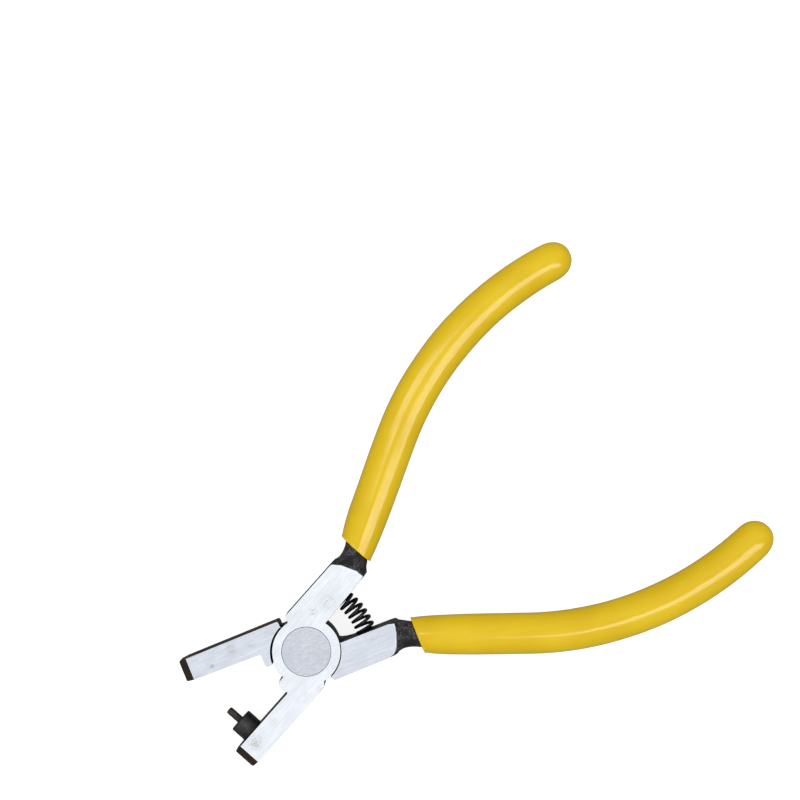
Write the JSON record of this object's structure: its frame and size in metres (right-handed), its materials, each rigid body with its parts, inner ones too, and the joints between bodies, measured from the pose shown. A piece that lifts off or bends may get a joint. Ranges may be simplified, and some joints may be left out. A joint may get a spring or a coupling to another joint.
{
  "type": "hole punch pliers",
  "caption": "Lap-joint hand pliers with a round punch pin on one jaw, a die hole in the other, a coil return spring and dipped handle sleeves, for punching small holes in straps.",
  "frame": {"origin": "on the pivot axis, in the plane of the ground back faces", "axes": "+Z along the pivot axis out of the front face; +X along the tool's centre line towards the handles; the jaws point to -X"},
  "size_m": [0.1237, 0.0856, 0.0096],
  "materials": {
    "punch_lever": "ground faces, black oxide neck",
    "anvil_lever": "ground faces, black oxide neck",
    "rivet": "ground flush, fine scratches",
    "spring_wire": "black oxide, satin",
    "holder": "black oxide, satin",
    "pin": "dark hardened steel",
    "sleeve_punch_side": "glossy dipped vinyl",
    "sleeve_anvil_side": "glossy dipped vinyl"
  },
  "bodies": {
    "anvil_side": {"anvil_lever": "anvil_lever", "pivot_rivet": "rivet", "return_spring": "spring_wire", "grip_anvil_side": "sleeve_anvil_side"},
    "punch_side": {"punch_lever": "punch_lever", "punch_holder": "holder", "punch_pin": "pin", "grip_punch_side": "sleeve_punch_side"}
  },
  "joints": [
    {"name": "pivot", "type": "hinge", "parent": "anvil_side", "child": "punch_side", "pos_m": [0, 0, 0.0048], "axis": [0, 0, -1], "range_deg": [-9, 26], "stiffness_Nm_per_rad": 0.35, "deforming": ["return_spring"]}
  ]
}
